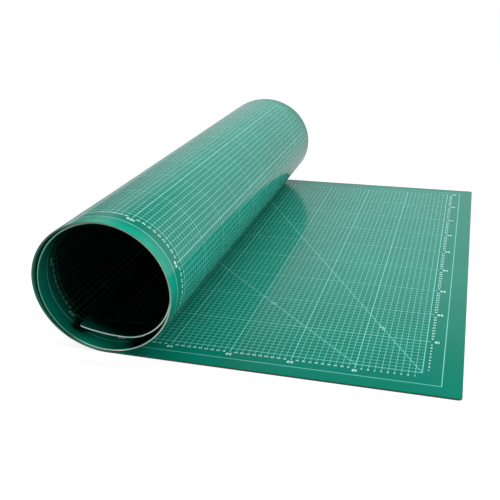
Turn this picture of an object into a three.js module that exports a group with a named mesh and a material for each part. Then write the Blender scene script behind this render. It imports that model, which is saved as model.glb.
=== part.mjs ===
// A self-healing cutting mat for the workshop, two metres by one metre, half unrolled on a table.
// Millimetres, +Z up. X runs along the mat towards its free end, Y across it, and the roll lies along Y.
// The mat is a bonded laminate of five plies, and every ply follows the same curve from end to end.
import * as THREE from "three";

// Sheet
const matLength = 2000;
const matWidth = 1000;
const matThickness = 3;
const cornerRadius = 6;

// Plies: a green face on each side, a cushion under each face, and the core takes what is left
const facePly = 0.6;
const cushionPly = 0.5;
const bondLine = 0.02;

// Roll, measured to the outside of the sheet. The reaches run from the line where it touches the table.
const rollHeight = 224;
const firstTurnLeftReach = 124;
const firstTurnRightReach = 115.5;

// Gaps between the first turn and the second
const gapLeft = 3;
const gapRight = 1.5;
const gapTop = 1.5;
const gapBottom = 1;

// How far the second turn sits back along the roll from the first, reached over its first half
const innerSetback = 11.5;

// Inner end of the sheet, a flap that springs away from the second turn
const flapLift = 20.5;
const flapLowPoint = 24.5;
const flapLength = 80;
const flapRadius = 300;

// Line across the flat where the free end bends upwards, measured from the free end
const bendDistance = 300;
const bendSlit = 0.3;

// Fineness of the curved stretches
const stationStep = 12;
const leastStep = 0.05;
const cornerSteps = 5;

// Looks of the plies
const faceGreen = 0x12805f;
const cushionGrey = 0xb9c2b8;
const coreWhite = 0xd9dbd2;
const faceRoughness = 0.45;
const cushionRoughness = 0.6;
const coreRoughness = 0.55;

// The curve through the middle of the sheet, in X and Z, from the free end to the inner end

const midOffset = matThickness / 2;
const secondTurnBottom = matThickness + gapBottom;
const secondTurnTop = rollHeight - matThickness - gapTop;
const flapBottom = secondTurnBottom + flapLift;
const secondTurnLeftReach = firstTurnLeftReach - matThickness - gapLeft;
const secondTurnRightReach = firstTurnRightReach - matThickness - gapRight;

// The inner turn is widest on the right at the height where the first turn is, so that it nests inside it
const innerSideHeight = (secondTurnBottom + rollHeight) / 2;

// An elliptical stretch that turns clockwise, given by the outside of the sheet
function turn(centreX, centreZ, reachX, reachZ, startAngle, endAngle) {
  return new THREE.EllipseCurve(
    centreX,
    centreZ,
    reachX - midOffset,
    reachZ - midOffset,
    startAngle,
    endAngle,
    true,
  );
}

// Half a turn up the left side, or down the right side, between two heights of the sheet's outside
function leftHalfTurn(reach, bottom, top) {
  return turn(0, (bottom + top) / 2, reach, (top - bottom) / 2, -Math.PI / 2, -1.5 * Math.PI);
}

function rightHalfTurn(reach, top, bottom) {
  return turn(0, (bottom + top) / 2, reach, (top - bottom) / 2, Math.PI / 2, -Math.PI / 2);
}

function rolledCurves() {
  const flapReach = secondTurnRightReach - flapLowPoint;
  const flapCentre = flapBottom + flapRadius;
  const flapSweep = flapLength / flapRadius;
  const flapStart = -Math.PI / 2;
  return [
    leftHalfTurn(firstTurnLeftReach, 0, rollHeight),
    rightHalfTurn(firstTurnRightReach, rollHeight, secondTurnBottom),
    leftHalfTurn(secondTurnLeftReach, secondTurnBottom, secondTurnTop),
    turn(0, innerSideHeight, secondTurnRightReach, secondTurnTop - innerSideHeight, Math.PI / 2, 0),
    turn(flapLowPoint, innerSideHeight, flapReach, innerSideHeight - flapBottom, 0, -Math.PI / 2),
    turn(flapLowPoint, flapCentre, flapRadius, flapRadius, flapStart, flapStart - flapSweep),
  ];
}

const rolled = rolledCurves();
const rolledLengths = rolled.map((curve) => curve.getLength());
const flatLength = matLength - rolledLengths.reduce((sum, length) => sum + length, 0);
const secondTurnStart = flatLength + rolledLengths[0] + rolledLengths[1];
const secondTurnHalf = secondTurnStart + rolledLengths[2];
const sheetCurve = new THREE.CurvePath();
const freeEdge = new THREE.Vector2(flatLength, midOffset);
const tableContact = new THREE.Vector2(0, midOffset);
sheetCurve.add(new THREE.LineCurve(freeEdge, tableContact));
rolled.forEach((curve) => sheetCurve.add(curve));

// Half the sheet's width at a distance from the free end: the corners are rounded
function halfWidthAt(distance) {
  const toEnd = Math.min(distance, matLength - distance);
  if (toEnd >= cornerRadius) return matWidth / 2;
  const short = cornerRadius - Math.max(toEnd, 0);
  return matWidth / 2 - cornerRadius + Math.sqrt(cornerRadius ** 2 - short ** 2);
}

// Distances from the free end at which a stretch of the sheet gets a cross-section
function stationsBetween(from, to) {
  const stations = new Set([from, to]);
  const steps = Math.ceil((matLength - flatLength) / stationStep);
  for (let i = 0; i <= steps; i += 1) {
    stations.add(flatLength + ((matLength - flatLength) * i) / steps);
  }
  for (let i = 0; i <= cornerSteps; i += 1) {
    const inset = cornerRadius * (1 - Math.cos((i / cornerSteps) * (Math.PI / 2)));
    stations.add(inset);
    stations.add(matLength - inset);
  }
  const sorted = [...stations].filter((s) => s >= from && s <= to).sort((a, b) => a - b);
  const apart = (s, i) => s - sorted[i - 1] > leastStep && to - s > leastStep;
  return sorted.filter((s, i) => i === 0 || s === to || apart(s, i));
}

// The four corners of a ply's cross-section. Heights are measured from the sheet's underside.
function crossSection(distance, lower, upper) {
  const share = Math.min(distance / matLength, 1);
  const middle = sheetCurve.getPoint(share);
  const along = sheetCurve.getTangent(share);
  const half = halfWidthAt(distance);
  const setback = innerSetback * THREE.MathUtils.smoothstep(distance, secondTurnStart, secondTurnHalf);
  const point = (height, y) => {
    const offset = height - midOffset;
    return [middle.x + offset * along.y, y + setback, middle.y - offset * along.x];
  };
  return [point(lower, -half), point(lower, half), point(upper, half), point(upper, -half)];
}

// One ply of the sheet between two distances from the free end, as a closed loft through its cross-sections
function plyGeometry(from, to, lower, upper) {
  const stations = stationsBetween(from, to);
  const sections = stations.map((s) => crossSection(s, lower, upper));
  const corners = sections[0].length;
  const index = [0, 1, 2, 0, 2, 3];
  for (let i = 0; i + 1 < stations.length; i += 1) {
    for (let side = 0; side < corners; side += 1) {
      const next = (side + 1) % corners;
      const here = i * corners;
      const there = here + corners;
      index.push(here + side, there + side, there + next, here + side, there + next, here + next);
    }
  }
  const last = (stations.length - 1) * corners;
  index.push(last, last + 2, last + 1, last, last + 3, last + 2);
  const geometry = new THREE.BufferGeometry();
  geometry.setAttribute("position", new THREE.Float32BufferAttribute(sections.flat(2), 3));
  geometry.setIndex(index);
  geometry.computeVertexNormals();
  return geometry;
}

// Plies from the underside to the cutting face, with their lower and upper heights
function plies() {
  const corePly = matThickness - 2 * facePly - 2 * cushionPly - 4 * bondLine;
  const stack = [
    { name: "bottom_face", thickness: facePly, color: faceGreen, roughness: faceRoughness },
    { name: "bottom_cushion", thickness: cushionPly, color: cushionGrey, roughness: cushionRoughness },
    { name: "core", thickness: corePly, color: coreWhite, roughness: coreRoughness },
    { name: "top_cushion", thickness: cushionPly, color: cushionGrey, roughness: cushionRoughness },
    { name: "top_face", thickness: facePly, color: faceGreen, roughness: faceRoughness },
  ];
  let height = 0;
  return stack.map((ply) => {
    const lower = height;
    height += ply.thickness + bondLine;
    return { ...ply, lower, upper: lower + ply.thickness };
  });
}

// Each ply is parted once at the bend line: the free end lifts, the rest runs into the roll
const stretches = [
  { name: "free_end", from: 0, to: bendDistance - bendSlit / 2 },
  { name: "roll", from: bendDistance + bendSlit / 2, to: matLength },
];

const cuttingMat = new THREE.Group();
cuttingMat.name = "cutting_mat";
cuttingMat.position.x = (firstTurnLeftReach - flatLength) / 2;
cuttingMat.position.y = -innerSetback / 2;
for (const stretch of stretches) {
  for (const ply of plies()) {
    const material = new THREE.MeshStandardMaterial({
      color: ply.color,
      roughness: ply.roughness,
      metalness: 0,
    });
    const geometry = plyGeometry(stretch.from, stretch.to, ply.lower, ply.upper);
    const mesh = new THREE.Mesh(geometry, material);
    mesh.name = `${stretch.name}_${ply.name}`;
    cuttingMat.add(mesh);
  }
}

export default cuttingMat;
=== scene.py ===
"""The looks of a large self-healing cutting mat that lies half unrolled.

It has the smooth plies, the print of both faces, the materials, the light and the camera.
"""

import math

import bpy
import numpy as np
from mathutils import Matrix, Vector


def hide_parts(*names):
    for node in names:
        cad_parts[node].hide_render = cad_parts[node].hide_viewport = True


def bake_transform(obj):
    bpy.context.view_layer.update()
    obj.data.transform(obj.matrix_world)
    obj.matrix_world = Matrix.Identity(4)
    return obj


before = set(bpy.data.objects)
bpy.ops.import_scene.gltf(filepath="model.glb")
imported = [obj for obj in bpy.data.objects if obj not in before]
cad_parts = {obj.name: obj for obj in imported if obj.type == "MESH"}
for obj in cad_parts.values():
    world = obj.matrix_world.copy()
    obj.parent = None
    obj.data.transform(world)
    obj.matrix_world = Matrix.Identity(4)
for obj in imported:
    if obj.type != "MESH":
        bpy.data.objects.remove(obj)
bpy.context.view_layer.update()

# Sheet and plies, in metres
MAT_LENGTH = 2.0
MAT_WIDTH = 1.0
MAT_THICKNESS = 0.003
CORNER_RADIUS = 0.006
FACE_PLY = 0.0006
CUSHION_PLY = 0.0005
BOND_LINE = 0.00002
EDGE_ROUNDING = 0.0003
FACE_INSET = 0.0008

# Roll, measured to the outside of the sheet from the line where it touches the table
ROLL_HEIGHT = 0.224
FIRST_TURN_LEFT = 0.124
FIRST_TURN_RIGHT = 0.1155
GAP_LEFT = 0.003
GAP_RIGHT = 0.0015
GAP_TOP = 0.0015
GAP_BOTTOM = 0.001
FLAP_LIFT = 0.0205
FLAP_LOW_POINT = 0.0245
FLAP_LENGTH = 0.08
FLAP_RADIUS = 0.3

# The inner turn sits back along the roll
INNER_SETBACK = 0.0115

# Bend of the free end
BEND_DISTANCE = 0.3
BEND_REACH = 0.04

# Fineness of the plies: steps or points along each stretch of the sheet and round each edge
ARC_STEPS = 3000
CORNER_POINTS = 9
FLAT_POINTS = 24
BEND_POINTS = 33
ROLL_POINTS = 500
ROUNDING_POINTS = 4

# The points of the bend run a little past it, cross-sections stay a least step apart,
# and edges stay sharp from an angle on
BEND_SPARE = 1.2
LEAST_STEP = 0.00001
SHARP_EDGE = math.radians(40)

# Print. The zero lines of the two faces are measured from the free end,
# the other margins from the nearest edge.
GRID_STEP = 0.01
GRID_COLUMNS = 190
GRID_ROWS = 90
TOP_ZERO = 0.060
BOTTOM_ZERO = 1.9563
FRONT_MARGIN = 0.058
FRAME_END_INSET = 0.030
FRAME_SIDE_INSET = 0.0262
THIN_LINE = 0.00068
TENS_LINE = 0.0013
ROW_LINE = 0.0007
TENS_ROW_LINE = 0.0013
BORDER_LINE = 0.0013
FRAME_LINE = 0.0012
ANGLE_LINE = 0.0009
TICK = 0.007
TENS_TICK = 0.0125
SMALL_DIGITS = 0.0042
LARGE_DIGITS = 0.0068
ANGLE_DIGITS = 0.0070
SMALL_OFFSET = 0.0113
LARGE_OFFSET = 0.0185
END_SMALL_OFFSET = 0.009
END_LARGE_OFFSET = 0.0166

# Ink: its lift off the face, the step between its layers, the layers of each kind of print,
# and the fineness of long strips
INK_LIFT = 0.00005
INK_LAYER = 0.00003
RULING_LAYERS = 4
NUMBER_LAYER = 1
ANGLE_LAYER = 5
INK_STEP = 0.006
SLANT_POINTS = 260

# Digits: weight and fineness of their outlines, and the gap between them as a share of their height
DIGIT_BOLDNESS = 0.05
DIGIT_FINENESS = 3
DIGIT_GAP = 0.16

# Slanted lines: distance from the zero line, degrees, and the place of the number on the line
ANGLES = [(0.0, 60, 0.15), (0.1, 45, 0.25)]

# Curve that carries the print
CURVE_FLAT_STEP = 0.02
CURVE_ROLL_POINTS = 1500


# The curve through the middle of the sheet


def rolled_arcs():
    """Centre, semi-axes and angles of the elliptical stretches, from the table to the inner end."""
    half = MAT_THICKNESS / 2
    bottom = MAT_THICKNESS + GAP_BOTTOM
    top = ROLL_HEIGHT - MAT_THICKNESS - GAP_TOP
    left = FIRST_TURN_LEFT - MAT_THICKNESS - GAP_LEFT
    right = FIRST_TURN_RIGHT - MAT_THICKNESS - GAP_RIGHT
    side = (bottom + ROLL_HEIGHT) / 2
    flap = bottom + FLAP_LIFT
    sweep = math.degrees(FLAP_LENGTH / FLAP_RADIUS)
    arcs = [
        (0, ROLL_HEIGHT / 2, FIRST_TURN_LEFT, ROLL_HEIGHT / 2, -90, -270),
        (0, side, FIRST_TURN_RIGHT, ROLL_HEIGHT - side, 90, -90),
        (0, (bottom + top) / 2, left, (top - bottom) / 2, -90, -270),
        (0, side, right, top - side, 90, 0),
        (FLAP_LOW_POINT, side, right - FLAP_LOW_POINT, side - flap, 0, -90),
        (FLAP_LOW_POINT, flap + FLAP_RADIUS, FLAP_RADIUS, FLAP_RADIUS, -90, -90 - sweep),
    ]
    return [(x, z, a - half, b - half, start, end) for x, z, a, b, start, end in arcs]


def sheet_table():
    """Distance from the free end, place and direction along the sheet's middle, as arrays.

    The distances at which the flat, the first turn and half of the inner turn end come with them.
    """
    places, directions = [], []
    for x, z, a, b, start, end in rolled_arcs():
        angle = np.radians(np.linspace(start, end, ARC_STEPS + 1))
        place = np.stack([x + a * np.cos(angle), z + b * np.sin(angle)], 1)
        direction = np.stack([a * np.sin(angle), -b * np.cos(angle)], 1)
        first = 0 if not places else 1
        places.append(place[first:])
        directions.append(direction[first:])
    place = np.concatenate(places)
    direction = np.concatenate(directions)
    direction /= np.linalg.norm(direction, axis=1)[:, None]
    run = np.concatenate([[0], np.cumsum(np.linalg.norm(np.diff(place, axis=0), axis=1))])
    flat = MAT_LENGTH - run[-1]
    place = np.concatenate([[[flat, MAT_THICKNESS / 2]], place])
    direction = np.concatenate([[[-1, 0]], direction])
    place[:, 0] += (FIRST_TURN_LEFT - flat) / 2
    ends = [flat, flat + run[2 * ARC_STEPS], flat + run[3 * ARC_STEPS]]
    return np.concatenate([[0], run + flat]), place, direction, ends


RUN, PLACE, DIRECTION, (FLAT_LENGTH, INNER_TURN, INNER_HALF) = sheet_table()


def on_sheet(distance, height):
    """X and Z of points at distances from the free end and heights above the underside of the sheet."""
    x, z = (np.interp(distance, RUN, PLACE[:, i]) for i in (0, 1))
    dx, dz = (np.interp(distance, RUN, DIRECTION[:, i]) for i in (0, 1))
    size = np.hypot(dx, dz)
    offset = height - MAT_THICKNESS / 2
    return x + offset * dz / size, z - offset * dx / size


def aside(distance):
    """Y of the sheet's middle: over its first half the inner turn moves back along the roll."""
    share = np.clip((distance - INNER_TURN) / (INNER_HALF - INNER_TURN), 0, 1)
    return INNER_SETBACK * (share * share * (3 - 2 * share) - 0.5)


def stations():
    """Distances from the free end at which a ply gets a cross-section."""
    corner = CORNER_RADIUS * (1 - np.cos(np.linspace(0, np.pi / 2, CORNER_POINTS)))
    reach = BEND_SPARE * BEND_REACH
    bend = np.linspace(BEND_DISTANCE - reach, BEND_DISTANCE + reach, BEND_POINTS)
    roll = np.linspace(FLAT_LENGTH, MAT_LENGTH - CORNER_RADIUS, ROLL_POINTS)
    flat = np.linspace(CORNER_RADIUS, FLAT_LENGTH, FLAT_POINTS)
    every = np.concatenate([corner, flat, bend, roll, MAT_LENGTH - corner])
    every = np.unique(np.round(every, 6))
    return every[np.concatenate([[True], np.diff(every) > LEAST_STEP])]


def half_width(distance):
    """Half the width of the sheet at distances from the free end: the corners are rounded."""
    to_end = np.clip(np.minimum(distance, MAT_LENGTH - distance), 0, CORNER_RADIUS)
    short = CORNER_RADIUS - to_end
    return MAT_WIDTH / 2 - CORNER_RADIUS + np.sqrt(CORNER_RADIUS**2 - short**2)


# Meshes


def make_object(name, vertices, faces, material, uv=None):
    """A piece of one material. Its map, where it has one, is given for each vertex."""
    mesh = bpy.data.meshes.new(name)
    mesh.from_pydata([tuple(v) for v in vertices], [], [tuple(f) for f in faces])
    mesh.validate()
    mesh.update()
    if uv is not None:
        layer = mesh.uv_layers.new(name="sheet")
        corners = np.zeros(len(mesh.loops), dtype=np.int32)
        mesh.loops.foreach_get("vertex_index", corners)
        layer.data.foreach_set("uv", np.asarray(uv, dtype=np.float32)[corners].ravel())
    mesh.materials.append(material)
    made = bpy.data.objects.new(name, mesh)
    bpy.context.scene.collection.objects.link(made)
    return made


def ply_section(lower, upper, round_lower, round_upper):
    """One side of a ply's cross-section as (inset from the side edge, height), from below to above."""
    quarter = np.radians(np.linspace(0, 90, ROUNDING_POINTS))
    front = []
    if round_lower:
        front.append((FACE_INSET, lower))
        for a in quarter[::-1]:
            front.append((EDGE_ROUNDING * (1 - np.cos(a)), lower + EDGE_ROUNDING * (1 - np.sin(a))))
    else:
        front.append((0, lower))
    if round_upper:
        for a in quarter:
            front.append((EDGE_ROUNDING * (1 - np.cos(a)), upper - EDGE_ROUNDING * (1 - np.sin(a))))
        front.append((FACE_INSET, upper))
    else:
        front.append((0, upper))
    return front


def make_ply(name, lower, upper, material, round_lower, round_upper):
    """One ply from end to end. Its map is the distance from the free end and the place across."""
    along = stations()
    front = ply_section(lower, upper, round_lower, round_upper)
    ring = [(-1, inset, height) for inset, height in front]
    ring += [(1, inset, height) for inset, height in reversed(front)]
    width = half_width(along)
    vertices = np.zeros((len(along), len(ring), 3))
    uv = np.zeros((len(along), len(ring), 2))
    for i, (side, inset, height) in enumerate(ring):
        x, z = on_sheet(along, height)
        y = side * (width - inset)
        vertices[:, i] = np.stack([x, y + aside(along), z], 1)
        uv[:, i] = np.stack([along, y], 1)
    count = len(ring)
    faces = []
    for i in range(len(along) - 1):
        for j in range(count):
            k = (j + 1) % count
            here, there = i * count, (i + 1) * count
            faces.append((here + j, here + k, there + k, there + j))
    faces.append(tuple(range(count - 1, -1, -1)))
    last = (len(along) - 1) * count
    faces.append(tuple(last + i for i in range(count)))
    made = make_object(name, vertices.reshape(-1, 3), faces, material, uv.reshape(-1, 2))
    made.data.shade_smooth()
    made.data.set_sharp_from_angle(angle=SHARP_EDGE)
    return made


# Geometry nodes: rows of printed strips, and the wrap that lays a flat print on the sheet


def link(tree, a, b):
    tree.links.new(a, b)


def node(tree, kind, **settings):
    made = tree.nodes.new(kind)
    for key, value in settings.items():
        setattr(made, key, value)
    return made


def feed(tree, made, values):
    """Each input of a node is linked to a socket or set to a value."""
    for i, value in enumerate(values):
        if isinstance(value, bpy.types.NodeSocket):
            link(tree, value, made.inputs[i])
        else:
            made.inputs[i].default_value = value
    return made


def vector_math(tree, operation, *values):
    return feed(tree, node(tree, "ShaderNodeVectorMath", operation=operation), values)


def maths(tree, operation, *values):
    return feed(tree, node(tree, "ShaderNodeMath", operation=operation), values).outputs[0]


def soft_range(tree, value, low, high):
    """0 below low, 1 above high, smooth between them. It falls when low is above high."""
    made = node(tree, "ShaderNodeMapRange", interpolation_type="SMOOTHSTEP")
    made.inputs["From Min"].default_value = low
    made.inputs["From Max"].default_value = high
    link(tree, value, made.inputs["Value"])
    return made.outputs["Result"]


def group_tree(name, kind, inputs, outputs):
    """A node tree with named sockets, and the nodes that hold its inputs and outputs."""
    tree = bpy.data.node_groups.new(name, kind)
    for way, sockets in (("INPUT", inputs), ("OUTPUT", outputs)):
        for socket, value in sockets.items():
            tree.interface.new_socket(socket, in_out=way, socket_type="NodeSocket" + value)
    return tree, node(tree, "NodeGroupInput"), node(tree, "NodeGroupOutput")


# Inputs of both print trees
ON_SHEET = {"Sheet": "Object", "Half thickness": "Float", "Upper face": "Bool", "Ink": "Material"}


def wrap_group():
    """A flat mesh is laid on one face of the sheet: X runs along it, Y across it and Z above the face."""
    sockets = {"Print": "Geometry"} | ON_SHEET
    tree, start, end = group_tree("Wrap on sheet", "GeometryNodeTree", sockets, {"Print": "Geometry"})
    info = node(tree, "GeometryNodeObjectInfo", transform_space="ORIGINAL")
    link(tree, start.outputs["Sheet"], info.inputs["Object"])
    parts = node(tree, "ShaderNodeSeparateXYZ")
    link(tree, node(tree, "GeometryNodeInputPosition").outputs[0], parts.inputs[0])
    sample = node(tree, "GeometryNodeSampleCurve", mode="LENGTH", use_all_curves=True)
    link(tree, info.outputs["Geometry"], sample.inputs["Curves"])
    link(tree, parts.outputs["X"], sample.inputs["Length"])
    normal = vector_math(tree, "CROSS_PRODUCT", (0, 1, 0), sample.outputs["Tangent"])
    normal = vector_math(tree, "NORMALIZE", normal.outputs[0])
    height = maths(tree, "ADD", parts.outputs["Z"], start.outputs["Half thickness"])
    sign = node(tree, "GeometryNodeSwitch", input_type="FLOAT")
    link(tree, start.outputs["Upper face"], sign.inputs["Switch"])
    sign.inputs["False"].default_value = -1
    sign.inputs["True"].default_value = 1
    signed = maths(tree, "MULTIPLY", height, sign.outputs[0])
    offset = node(tree, "ShaderNodeVectorMath", operation="SCALE")
    link(tree, normal.outputs[0], offset.inputs[0])
    link(tree, signed, offset.inputs["Scale"])
    moved = soft_range(tree, parts.outputs["X"], INNER_TURN, INNER_HALF)
    sideways = maths(tree, "MULTIPLY_ADD", moved, INNER_SETBACK, parts.outputs["Y"])
    sideways = maths(tree, "SUBTRACT", sideways, INNER_SETBACK / 2)
    across = node(tree, "ShaderNodeCombineXYZ")
    link(tree, sideways, across.inputs["Y"])
    spot = vector_math(tree, "ADD", sample.outputs["Position"], offset.outputs[0])
    spot = vector_math(tree, "ADD", spot.outputs[0], across.outputs[0])
    move = node(tree, "GeometryNodeSetPosition")
    link(tree, start.outputs["Print"], move.inputs["Geometry"])
    link(tree, spot.outputs[0], move.inputs["Position"])
    flip = node(tree, "GeometryNodeFlipFaces")
    link(tree, move.outputs[0], flip.inputs["Mesh"])
    link(tree, start.outputs["Upper face"], flip.inputs["Selection"])
    paint = node(tree, "GeometryNodeSetMaterial")
    link(tree, flip.outputs[0], paint.inputs["Geometry"])
    link(tree, start.outputs["Ink"], paint.inputs["Material"])
    link(tree, paint.outputs[0], end.inputs["Print"])
    return tree


def strips_group(wrap):
    """A row of equal printed strips at a regular step, laid on the sheet."""
    sockets = {"First": "Vector", "Step": "Vector", "Count": "Int"}
    sockets |= {"Length along": "Float", "Length across": "Float", "Points along": "Int"}
    sockets |= ON_SHEET
    tree, start, end = group_tree("Printed strips", "GeometryNodeTree", sockets, {"Print": "Geometry"})
    row = node(tree, "GeometryNodeMeshLine", mode="OFFSET", count_mode="TOTAL")
    link(tree, start.outputs["Count"], row.inputs["Count"])
    link(tree, start.outputs["First"], row.inputs["Start Location"])
    link(tree, start.outputs["Step"], row.inputs["Offset"])
    strip = node(tree, "GeometryNodeMeshGrid")
    link(tree, start.outputs["Length along"], strip.inputs["Size X"])
    link(tree, start.outputs["Length across"], strip.inputs["Size Y"])
    link(tree, start.outputs["Points along"], strip.inputs["Vertices X"])
    strip.inputs["Vertices Y"].default_value = 2
    place = node(tree, "GeometryNodeInstanceOnPoints")
    link(tree, row.outputs[0], place.inputs["Points"])
    link(tree, strip.outputs["Mesh"], place.inputs["Instance"])
    real = node(tree, "GeometryNodeRealizeInstances")
    link(tree, place.outputs[0], real.inputs["Geometry"])
    laid = node(tree, "GeometryNodeGroup")
    laid.node_tree = wrap
    link(tree, real.outputs[0], laid.inputs["Print"])
    for name in ON_SHEET:
        link(tree, start.outputs[name], laid.inputs[name])
    link(tree, laid.outputs[0], end.inputs["Print"])
    return tree


def run_nodes(tree, settings, flat=None):
    """The vertices and faces that a node tree makes from its named inputs."""
    mesh = flat or bpy.data.meshes.new("blank")
    holder = bpy.data.objects.new("holder", mesh)
    bpy.context.scene.collection.objects.link(holder)
    modifier = holder.modifiers.new("Print", "NODES")
    modifier.node_group = tree
    for item in tree.interface.items_tree:
        if item.in_out == "INPUT" and item.name in settings:
            modifier[item.identifier] = settings[item.name]
    bpy.context.view_layer.update()
    graph = bpy.context.evaluated_depsgraph_get()
    made = bpy.data.meshes.new_from_object(holder.evaluated_get(graph), depsgraph=graph)
    vertices = np.zeros(len(made.vertices) * 3)
    made.vertices.foreach_get("co", vertices)
    faces = [tuple(p.vertices) for p in made.polygons]
    bpy.data.objects.remove(holder)
    bpy.data.meshes.remove(mesh)
    bpy.data.meshes.remove(made)
    return vertices.reshape(-1, 3), faces


def join_parts(parts):
    """Several meshes, each given by its points and faces, as one."""
    vertices, faces, base = [], [], 0
    for points, polygons in parts:
        vertices.append(points)
        faces += [tuple(i + base for i in polygon) for polygon in polygons]
        base += len(points)
    return np.concatenate(vertices), faces


def sheet_curve_object():
    """The sheet's middle as a curve that the print is measured along."""
    flat = np.arange(0, FLAT_LENGTH, CURVE_FLAT_STEP)
    spots = np.concatenate([flat, np.linspace(FLAT_LENGTH, MAT_LENGTH, CURVE_ROLL_POINTS)])
    x, z = on_sheet(spots, MAT_THICKNESS / 2)
    curve = bpy.data.curves.new("sheet_middle", "CURVE")
    curve.dimensions = "3D"
    line = curve.splines.new("POLY")
    line.points.add(len(spots) - 1)
    line.points.foreach_set("co", np.stack([x, 0 * x, z, 0 * x + 1], 1).astype(np.float32).ravel())
    return bpy.data.objects.new("sheet_middle", curve)


# Numbers


def digit_shapes():
    """Flat triangles of the ten digits and the degree sign, with cap height 1 and their advance."""
    shapes = {}
    for letter in "0123456789°":
        text = bpy.data.curves.new("digit", "FONT")
        text.body = letter
        text.resolution_u = DIGIT_FINENESS
        text.offset = DIGIT_BOLDNESS
        holder = bpy.data.objects.new("digit", text)
        bpy.context.scene.collection.objects.link(holder)
        bpy.context.view_layer.update()
        graph = bpy.context.evaluated_depsgraph_get()
        mesh = bpy.data.meshes.new_from_object(holder.evaluated_get(graph), depsgraph=graph)
        spots = np.array([v.co[:2] for v in mesh.vertices])
        shapes[letter] = (spots, [tuple(p.vertices) for p in mesh.polygons])
        bpy.data.objects.remove(holder)
        bpy.data.meshes.remove(mesh)
    cap = shapes["0"][0][:, 1].max()
    low = shapes["0"][0][:, 1].min()
    scaled = {}
    for letter, (spots, faces) in shapes.items():
        left, right = spots[:, 0].min(), spots[:, 0].max()
        moved = (spots - [left, low]) / (cap - low)
        scaled[letter] = (moved, faces, (right - left) / (cap - low))
    return scaled


def label(shapes, text, size, spot, reading, slant=0.0):
    """Flat triangles of a number that reads along X (1) or against it (-1).

    Its top points to the front edge. A slanted number is turned so that it climbs away from that edge.
    """
    width = sum(shapes[c][2] for c in text) + DIGIT_GAP * (len(text) - 1)
    parts, x = [], -width / 2
    for letter in text:
        points, faces, advance = shapes[letter]
        parts.append((points + [x, -0.5], faces))
        x += advance + DIGIT_GAP
    points, faces = join_parts(parts)
    rightward = np.array([reading * math.cos(slant), math.sin(slant)])
    upward = np.array([reading * math.sin(slant), -math.cos(slant)])
    laid = size * (points[:, :1] * rightward + points[:, 1:] * upward) + np.array(spot)
    if reading > 0:
        faces = [face[::-1] for face in faces]
    return np.column_stack([laid, np.zeros(len(laid))]), faces


def slanted_strip(start, end, width):
    """A flat strip between two spots, cut across often enough to follow the roll."""
    start, end = np.array(start), np.array(end)
    way = (end - start) / np.linalg.norm(end - start)
    side = np.array([-way[1], way[0]]) * width / 2
    share = np.linspace(0, 1, SLANT_POINTS)[:, None]
    middle = start + (end - start) * share
    spots = np.stack([middle - side, middle + side], 1).reshape(-1, 2)
    faces = [(2 * i, 2 * i + 2, 2 * i + 3, 2 * i + 1) for i in range(SLANT_POINTS - 1)]
    return np.column_stack([spots, np.zeros(len(spots))]), faces


# Print of one face

FRONT_LINE = FRONT_MARGIN - MAT_WIDTH / 2
BACK_LINE = FRONT_LINE + GRID_ROWS * GRID_STEP


def ruled_rows(zero, reading):
    """First strip, step, count, length along, length across and points along of every row of strips."""
    deep = BACK_LINE - FRONT_LINE
    long = GRID_COLUMNS * GRID_STEP
    middle = zero + reading * long / 2
    points = round(long / INK_STEP) + 1
    tens = 10 * GRID_STEP
    start = zero + reading * GRID_STEP
    tens_start = zero + reading * tens
    outside = zero - reading * TICK / 2
    frame_deep = MAT_WIDTH - 2 * FRAME_SIDE_INSET
    frame_long = MAT_LENGTH - 2 * FRAME_END_INSET
    layer = [INK_LIFT + i * INK_LAYER for i in range(RULING_LAYERS)]
    cross = (FRONT_LINE + BACK_LINE - TICK) / 2
    tens_cross = (FRONT_LINE + BACK_LINE - TENS_TICK) / 2
    onward, tens_onward = (reading * GRID_STEP, 0, 0), (reading * tens, 0, 0)
    columns, rows = GRID_COLUMNS // 10, GRID_ROWS // 10
    return [
        ((start, cross, layer[0]), onward, GRID_COLUMNS, THIN_LINE, deep + TICK, 2),
        ((tens_start, tens_cross, layer[2]), tens_onward, columns, TENS_LINE, deep + TENS_TICK, 2),
        ((middle, FRONT_LINE, layer[1]), (0, GRID_STEP, 0), GRID_ROWS + 1, long, ROW_LINE, points),
        ((middle, FRONT_LINE, layer[3]), (0, tens, 0), rows + 1, long, TENS_ROW_LINE, points),
        ((zero, (FRONT_LINE + BACK_LINE) / 2, layer[3]), (0, 0, 0), 1, BORDER_LINE, deep, 2),
        ((outside, FRONT_LINE + tens, layer[1]), (0, tens, 0), rows, TICK, TENS_LINE, 2),
        ((MAT_LENGTH / 2, -frame_deep / 2, layer[0]), (0, frame_deep, 0), 2, frame_long, FRAME_LINE, points),
        ((FRAME_END_INSET, 0, layer[1]), (frame_long, 0, 0), 2, FRAME_LINE, frame_deep, 2),
    ]


def number_parts(shapes, zero, reading):
    """The centimetres along the front edge and across the end, larger at every tenth."""
    parts = []
    for n in range(1, GRID_COLUMNS + 1):
        size, offset = (SMALL_DIGITS, SMALL_OFFSET) if n % 10 else (LARGE_DIGITS, LARGE_OFFSET)
        spot = (zero + reading * n * GRID_STEP, FRONT_LINE - offset)
        parts.append(label(shapes, str(n), size, spot, reading))
    for n in range(1, GRID_ROWS + 1):
        size, offset = (SMALL_DIGITS, END_SMALL_OFFSET) if n % 10 else (LARGE_DIGITS, END_LARGE_OFFSET)
        spot = (zero - reading * offset, FRONT_LINE + n * GRID_STEP)
        parts.append(label(shapes, str(n), size, spot, reading))
    return parts


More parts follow.
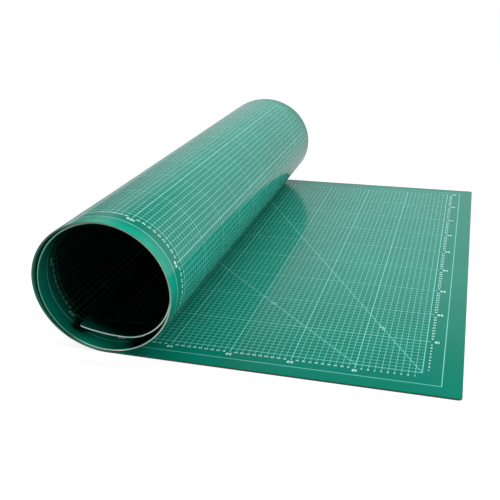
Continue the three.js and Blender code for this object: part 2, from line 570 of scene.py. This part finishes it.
def angle_parts(shapes, zero, reading):
    """The slanted lines, each with its degrees on the line."""
    parts = []
    deep = BACK_LINE - FRONT_LINE
    for first, degrees, reach in ANGLES:
        slant = math.radians(degrees)
        start = zero + reading * first
        end = start + reading * deep / math.tan(slant)
        parts.append(slanted_strip((start, FRONT_LINE), (end, BACK_LINE), ANGLE_LINE))
        spot = (start + reading * reach * math.cos(slant), FRONT_LINE + reach * math.sin(slant))
        parts.append(label(shapes, f"{degrees}°", ANGLE_DIGITS, spot, reading, slant))
    return parts


def lay_flat(wrap, settings, parts, layer):
    """Flat parts laid on the sheet, at a layer of the ink."""
    points, faces = join_parts(parts)
    points[:, 2] = INK_LIFT + layer * INK_LAYER
    flat = bpy.data.meshes.new("flat_print")
    flat.from_pydata([tuple(p) for p in points], [], faces)
    return run_nodes(wrap, settings, flat)


def print_face(name, upper, shapes, trees, sheet, inks):
    """The ruled lines and the numbers of one face, as two pieces."""
    wrap, strips = trees
    ink, heavy_ink = inks
    zero = TOP_ZERO if upper else BOTTOM_ZERO
    reading = 1 if upper else -1
    shared = {"Sheet": sheet, "Half thickness": MAT_THICKNESS / 2, "Upper face": upper, "Ink": ink}
    parts = []
    for first, step, count, along, across, points in ruled_rows(zero, reading):
        row = {"First": first, "Step": step, "Count": count, "Points along": points}
        row |= {"Length along": along, "Length across": across}
        parts.append(run_nodes(strips, shared | row))
    parts.append(lay_flat(wrap, shared, angle_parts(shapes, zero, reading), ANGLE_LAYER))
    numbers = lay_flat(wrap, shared, number_parts(shapes, zero, reading), NUMBER_LAYER)
    return [
        make_object(name + "_numbers", *numbers, heavy_ink),
        make_object(name + "_ruling", *join_parts(parts), ink),
    ]


# Materials

# Scale and detail of the broad tone and of the fine grain, and the stretch of their values that is used
TONE_PATCHES = (7, 4)
FINE_GRAIN = (700, 3)
NOISE_LOW, NOISE_HIGH = 0.3, 0.7
GRAIN_DEPTH = 0.0002
FACE_RELIEF = 0.02
EDGE_RELIEF = 0.1

# Darkest and palest tone of each finish, and its lowest and highest roughness
GREEN_TONES = (0.0006, 0.210, 0.142), (0.001, 0.238, 0.162)
GRID_TONES = (0.21, 0.74, 0.69), (0.25, 0.78, 0.73)
NUMBER_TONES = (0.56, 0.97, 0.92), (0.62, 1.0, 0.96)
CUSHION_TONE = (0.59, 0.63, 0.59)
CORE_TONE = (0.78, 0.82, 0.78)
EDGE_SHADE = 0.92
GREEN_ROUGHNESS = (0.11, 0.15)
INK_ROUGHNESS = (0.2, 0.3)
CUSHION_ROUGHNESS = (0.55, 0.65)
CORE_ROUGHNESS = (0.45, 0.55)

# Painted shade and painted highlight on the cut edge, darker where it lies in shade and paler where it
# catches the light: share of the sheet's length from the free end, and the tint there
EDGE_PAINTED_LIGHT = [
    (0.30, (0.18, 0.14, 0.12)),
    (0.42, (0.20, 0.16, 0.145)),
    (0.50, (0.60, 0.58, 0.55)),
    (0.60, (0.90, 0.90, 0.88)),
    (0.63, (0.55, 0.62, 0.60)),
    (0.67, (0.25, 0.33, 0.31)),
    (0.72, (0.34, 0.43, 0.41)),
    (0.80, (0.42, 0.46, 0.44)),
    (0.90, (1.0, 1.0, 1.0)),
]


def grain_group():
    """Broad tone, fine grain and a grain normal for PVC sheet, from the sheet's own metres."""
    inputs = {"Sheet": "Vector", "Relief": "Float"}
    outputs = {"Tone": "Float", "Grain": "Float", "Normal": "Vector"}
    tree, start, end = group_tree("Sheet grain", "ShaderNodeTree", inputs, outputs)
    tone, grain = node(tree, "ShaderNodeTexNoise"), node(tree, "ShaderNodeTexNoise")
    for texture, (scale, detail) in ((tone, TONE_PATCHES), (grain, FINE_GRAIN)):
        texture.inputs["Scale"].default_value = scale
        texture.inputs["Detail"].default_value = detail
        link(tree, start.outputs["Sheet"], texture.inputs["Vector"])
    bump = node(tree, "ShaderNodeBump")
    bump.inputs["Distance"].default_value = GRAIN_DEPTH
    link(tree, start.outputs["Relief"], bump.inputs["Strength"])
    link(tree, grain.outputs["Fac"], bump.inputs["Height"])
    link(tree, tone.outputs["Fac"], end.inputs["Tone"])
    link(tree, grain.outputs["Fac"], end.inputs["Grain"])
    link(tree, bump.outputs["Normal"], end.inputs["Normal"])
    return tree


def colour_ramp(tree, value, stops):
    """The colour at a value, from stops of a position and a colour."""
    ramp = node(tree, "ShaderNodeValToRGB")
    ramp.color_ramp.elements[0].position = stops[0][0]
    ramp.color_ramp.elements[0].color = (*stops[0][1], 1)
    ramp.color_ramp.elements[1].position = stops[-1][0]
    ramp.color_ramp.elements[1].color = (*stops[-1][1], 1)
    for position, colour in stops[1:-1]:
        element = ramp.color_ramp.elements.new(position)
        element.color = (*colour, 1)
    link(tree, value, ramp.inputs["Fac"])
    return ramp.outputs["Color"]


def noise_range(tree, value, low, high):
    """A noise value spread over the range from low to high."""
    made = node(tree, "ShaderNodeMapRange")
    made.inputs["From Min"].default_value = NOISE_LOW
    made.inputs["From Max"].default_value = NOISE_HIGH
    made.inputs["To Min"].default_value = low
    made.inputs["To Max"].default_value = high
    link(tree, value, made.inputs["Value"])
    return made.outputs["Result"]


def new_material(name):
    material = bpy.data.materials.new(name)
    material.use_nodes = True
    tree = material.node_tree
    return material, tree, tree.nodes["Principled BSDF"]


def sheet_material(name, grain, tones, roughness, relief, uv=True):
    """PVC or ink whose tone and roughness vary softly over the sheet."""
    material, tree, shader = new_material(name)
    stops = list(zip((NOISE_LOW, NOISE_HIGH), tones))
    shared = node(tree, "ShaderNodeGroup")
    shared.node_tree = grain
    shared.inputs["Relief"].default_value = relief
    if uv:
        source = node(tree, "ShaderNodeUVMap", uv_map="sheet").outputs["UV"]
    else:
        source = node(tree, "ShaderNodeTexCoord").outputs["Object"]
    link(tree, source, shared.inputs["Sheet"])
    link(tree, colour_ramp(tree, shared.outputs["Tone"], stops), shader.inputs["Base Color"])
    rough = noise_range(tree, shared.outputs["Grain"], *roughness)
    link(tree, rough, shader.inputs["Roughness"])
    link(tree, shared.outputs["Normal"], shader.inputs["Normal"])
    return material


def edge_material(name, grain, colour, roughness):
    """Pale PVC that shows on the cut edge, with painted shade and painted highlight that change along the
    sheet.
    """
    shade = tuple(EDGE_SHADE * c for c in colour)
    material = sheet_material(name, grain, (shade, colour), roughness, EDGE_RELIEF)
    tree = material.node_tree
    shader = tree.nodes["Principled BSDF"]
    clean = shader.inputs["Base Color"].links[0].from_socket
    along = node(tree, "ShaderNodeSeparateXYZ")
    link(tree, node(tree, "ShaderNodeUVMap", uv_map="sheet").outputs["UV"], along.inputs[0])
    share = maths(tree, "DIVIDE", along.outputs["X"], MAT_LENGTH)
    # Painted shade and highlight along the cut edge, by the share of the sheet's length
    painted_light = colour_ramp(tree, share, EDGE_PAINTED_LIGHT)
    mixed = node(tree, "ShaderNodeMix", data_type="RGBA", blend_type="MULTIPLY")
    mixed.inputs["Factor"].default_value = 1.0
    link(tree, clean, mixed.inputs["A"])
    link(tree, painted_light, mixed.inputs["B"])
    link(tree, mixed.outputs["Result"], shader.inputs["Base Color"])
    return material


# Object

grain = grain_group()
green = sheet_material("green_pvc", grain, GREEN_TONES, GREEN_ROUGHNESS, FACE_RELIEF)
cushion = edge_material("cushion_pvc", grain, CUSHION_TONE, CUSHION_ROUGHNESS)
core = edge_material("core_pvc", grain, CORE_TONE, CORE_ROUGHNESS)
ink = sheet_material("grid_ink", grain, GRID_TONES, INK_ROUGHNESS, FACE_RELIEF, uv=False)
number_ink = sheet_material("number_ink", grain, NUMBER_TONES, INK_ROUGHNESS, FACE_RELIEF, uv=False)

# Plies from the underside up: name, thickness, material, slot, and whether the lower and upper edges are soft
core_ply = MAT_THICKNESS - 2 * FACE_PLY - 2 * CUSHION_PLY - 4 * BOND_LINE
plies = [
    ("bottom_face", FACE_PLY, green, "green_face", True, False),
    ("bottom_cushion", CUSHION_PLY, cushion, "cushion_ply", False, False),
    ("core", core_ply, core, "core_ply", False, False),
    ("top_cushion", CUSHION_PLY, cushion, "cushion_ply", False, False),
    ("top_face", FACE_PLY, green, "green_face", False, True),
]
height = 0
for word, thickness, material, slot, round_lower, round_upper in plies:
    piece = make_ply("sheet_" + word, height, height + thickness, material, round_lower, round_upper)
    height += thickness + BOND_LINE
    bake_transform(piece)
    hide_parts("roll_" + word, "free_end_" + word)

shapes = digit_shapes()
wrap_tree = wrap_group()
trees = (wrap_tree, strips_group(wrap_tree))
sheet_middle = sheet_curve_object()
for name, upper in (("top", True), ("bottom", False)):
    for piece in print_face(name, upper, shapes, trees, sheet_middle, (ink, number_ink)):
        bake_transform(piece)
bpy.data.objects.remove(sheet_middle)


# Stage

# White floor: its reach, its depth below the mat, its colour as seen and as it lights the mat, its own glow
# near the mat, the distances over which its shadow fades, and where it starts to show in the mat's sheen
FLOOR_REACH = 12
FLOOR_DROP = 0.0003
FLOOR_ROUGHNESS = 0.9
FLOOR_SEEN = 0.25
FLOOR_BOUNCE = 0.05
FLOOR_GLOW = 0.86
FLOOR_SHADOW_REACH = (0.8, 1.5)
FLOOR_LIT_FROM = (0.3, 0.6)

# Bright wall behind the mat: its light, and the directions between which its top, front and left side fade
WALL_LIGHT = 0.58
WALL_TOP = (0.39, 0.56)
WALL_SLANT = 0.05
WALL_FROM = (-0.2, 0.3)
WALL_LEFT = (-0.75, -0.3)

# Share of the light that a second reflection keeps, and the glossy depth that only such a one passes
TWICE_REFLECTED = 0.05
ONCE_REFLECTED_DEPTH = 1.5

# Black card
FLAG_SIDES = (-0.34, -0.1)
FLAG_PLACE = 0.52

# Panels: name, place, target, size, watts and spread in degrees
PANELS = [
    ("ceiling", (0.0, 0.9, 2.0), (0.0, 0.9, 0.0), (4.0, 3.0), 70, 180),
    ("key", (2.6, -0.5, 1.0), (0.0, -0.2, 0.1), (1.2, 1.2), 35, 180),
    ("left_panel", (-2.2, 0.2, 1.9), (-0.2, 0.0, 0.1), (1.5, 1.5), 32, 180),
    ("side_fill", (2.4, -0.97, 0.7), (-0.25, -0.5, 0.05), (0.6, 0.3), 14, 180),
    ("mouth_strip", (0.276, -0.502, 0.868), (-0.21, -0.502, 0.112), (0.012, 0.2), 0.018, 4),
    ("lip_strip", (0.03, -1.3, 0.15), (-0.23, -0.495, 0.01), (0.09, 0.002), 0.005, 2),
]

# Beam along the roll
BEAM_PLACE = (-0.2, -3.0, 0.1)
BEAM_TARGET = (-0.2, 0.0, 0.1)
BEAM_STRENGTH = 2.2
BEAM_ANGLE = math.radians(0.5)

# Camera of the photo, as fitted to the printed grid: turns in radians, lens and sensor in millimetres
CAMERA_PLACE = (0.30819, -1.45307, 0.60044)
CAMERA_YAW = -0.2879
CAMERA_PITCH = -0.3837
CAMERA_ROLL = -0.0183
CAMERA_LENS = 53.795
CAMERA_SENSOR = 36
CAMERA_CLIP = (0.01, 100)


def fainter_twice(tree, ray):
    """1 for a first reflection, and less after a second one."""
    again = maths(tree, "GREATER_THAN", ray.outputs["Glossy Depth"], ONCE_REFLECTED_DEPTH)
    return maths(tree, "MULTIPLY_ADD", again, TWICE_REFLECTED - 1.0, 1.0)


def make_floor():
    """A white floor that keeps a faint shadow near the mat and runs into the white of the room."""
    corners = [(x * FLOOR_REACH, y * FLOOR_REACH) for x, y in ((-1, -1), (1, -1), (1, 1), (-1, 1))]
    material, tree, shader = new_material("floor_white")
    shader.inputs["Roughness"].default_value = FLOOR_ROUGHNESS
    shader.inputs["Specular IOR Level"].default_value = 0.0
    shader.inputs["Emission Color"].default_value = (1, 1, 1, 1)
    ray = node(tree, "ShaderNodeLightPath")
    place = node(tree, "ShaderNodeTexCoord").outputs["Object"]
    distance = vector_math(tree, "LENGTH", place).outputs["Value"]
    near = soft_range(tree, distance, FLOOR_SHADOW_REACH[1], FLOOR_SHADOW_REACH[0])
    seen = maths(tree, "MULTIPLY", ray.outputs["Is Camera Ray"], near)
    albedo = maths(tree, "MULTIPLY_ADD", seen, FLOOR_SEEN - FLOOR_BOUNCE, FLOOR_BOUNCE)
    colour = node(tree, "ShaderNodeCombineColor")
    for channel in colour.inputs:
        link(tree, albedo, channel)
    link(tree, colour.outputs[0], shader.inputs["Base Color"])
    fade = maths(tree, "MULTIPLY_ADD", near, FLOOR_GLOW - 1.0, 1.0)
    glow = maths(tree, "MULTIPLY", ray.outputs["Is Camera Ray"], fade)
    spot = node(tree, "ShaderNodeSeparateXYZ")
    link(tree, place, spot.inputs[0])
    behind = soft_range(tree, spot.outputs["Y"], *FLOOR_LIT_FROM)
    mirrored = maths(tree, "MULTIPLY", ray.outputs["Is Glossy Ray"], behind)
    mirrored = maths(tree, "MULTIPLY", mirrored, WALL_LIGHT)
    mirrored = maths(tree, "MULTIPLY", mirrored, fainter_twice(tree, ray))
    link(tree, maths(tree, "ADD", glow, mirrored), shader.inputs["Emission Strength"])
    made = make_object("floor", [(x, y, -FLOOR_DROP) for x, y in corners], [(0, 1, 2, 3)], material)


def make_flag():
    """A black card behind the far end of the roll keeps the light of the wall out of it."""
    material, _, shader = new_material("black_card")
    shader.inputs["Base Color"].default_value = (0, 0, 0, 1)
    shader.inputs["Specular IOR Level"].default_value = 0.0
    left, right = FLAG_SIDES
    corners = [(left, 0), (right, 0), (right, ROLL_HEIGHT), (left, ROLL_HEIGHT)]
    made = make_object("flag", [(x, FLAG_PLACE, z) for x, z in corners], [(0, 1, 2, 3)], material)
    made.visible_camera = False
    made.visible_glossy = False


def make_world():
    """A room that is white to the camera, with a bright wall behind the mat and a dark front."""
    world = bpy.data.worlds.new("white_room")
    bpy.context.scene.world = world
    world.use_nodes = True
    tree = world.node_tree
    background = tree.nodes["Background"]
    ray = node(tree, "ShaderNodeLightPath")
    way = node(tree, "ShaderNodeSeparateXYZ")
    link(tree, node(tree, "ShaderNodeTexCoord").outputs["Generated"], way.inputs[0])
    slanted = maths(tree, "MULTIPLY_ADD", way.outputs["X"], -WALL_SLANT, way.outputs["Z"])
    wall = soft_range(tree, slanted, WALL_TOP[1], WALL_TOP[0])
    wall = maths(tree, "MULTIPLY", wall, soft_range(tree, way.outputs["Y"], *WALL_FROM))
    wall = maths(tree, "MULTIPLY", wall, soft_range(tree, way.outputs["X"], *WALL_LEFT))
    light = maths(tree, "MULTIPLY", wall, WALL_LIGHT)
    light = maths(tree, "MULTIPLY", light, fainter_twice(tree, ray))
    link(tree, maths(tree, "MAXIMUM", light, ray.outputs["Is Camera Ray"]), background.inputs["Strength"])
    background.inputs["Color"].default_value = (1, 1, 1, 1)


def place_lamp(name, lamp, spot, target):
    """Lamps are soft light only: the sheen of the mat mirrors the room."""
    made = bpy.data.objects.new(name, lamp)
    bpy.context.scene.collection.objects.link(made)
    made.location = spot
    way = Vector(target) - Vector(spot)
    made.rotation_mode = "QUATERNION"
    made.rotation_quaternion = way.to_track_quat("-Z", "Y")
    made.visible_glossy = False


def make_panel(name, spot, target, size, power, spread):
    lamp = bpy.data.lights.new(name, "AREA")
    lamp.shape = "RECTANGLE"
    lamp.size, lamp.size_y = size
    lamp.energy = power
    lamp.spread = math.radians(spread)
    place_lamp(name, lamp, spot, target)


def make_beam():
    """Light that runs along the roll, so that it meets the cut edges and passes the inside."""
    lamp = bpy.data.lights.new("edge_light", "SUN")
    lamp.energy = BEAM_STRENGTH
    lamp.angle = BEAM_ANGLE
    place_lamp("edge_light", lamp, BEAM_PLACE, BEAM_TARGET)


def make_camera():
    """The camera of the photo, from its fitted place, yaw, pitch, roll and lens."""
    yaw, pitch, roll = CAMERA_YAW, CAMERA_PITCH, CAMERA_ROLL
    forward = Vector((math.sin(yaw) * math.cos(pitch), math.cos(yaw) * math.cos(pitch), math.sin(pitch)))
    level = Vector((math.cos(yaw), -math.sin(yaw), 0))
    upward = level.cross(forward)
    right = level * math.cos(roll) + upward * math.sin(roll)
    top = upward * math.cos(roll) - level * math.sin(roll)
    camera = bpy.data.cameras.new("camera")
    camera.sensor_fit = "HORIZONTAL"
    camera.sensor_width = CAMERA_SENSOR
    camera.lens = CAMERA_LENS
    camera.clip_start, camera.clip_end = CAMERA_CLIP
    made = bpy.data.objects.new("camera", camera)
    bpy.context.scene.collection.objects.link(made)
    turn = Matrix((right, top, -forward)).transposed().to_4x4()
    made.matrix_world = Matrix.Translation(CAMERA_PLACE) @ turn
    bpy.context.scene.camera = made


make_floor()
make_flag()
make_world()
for panel in PANELS:
    make_panel(*panel)
make_beam()
make_camera()
bpy.context.scene.view_settings.view_transform = "Standard"
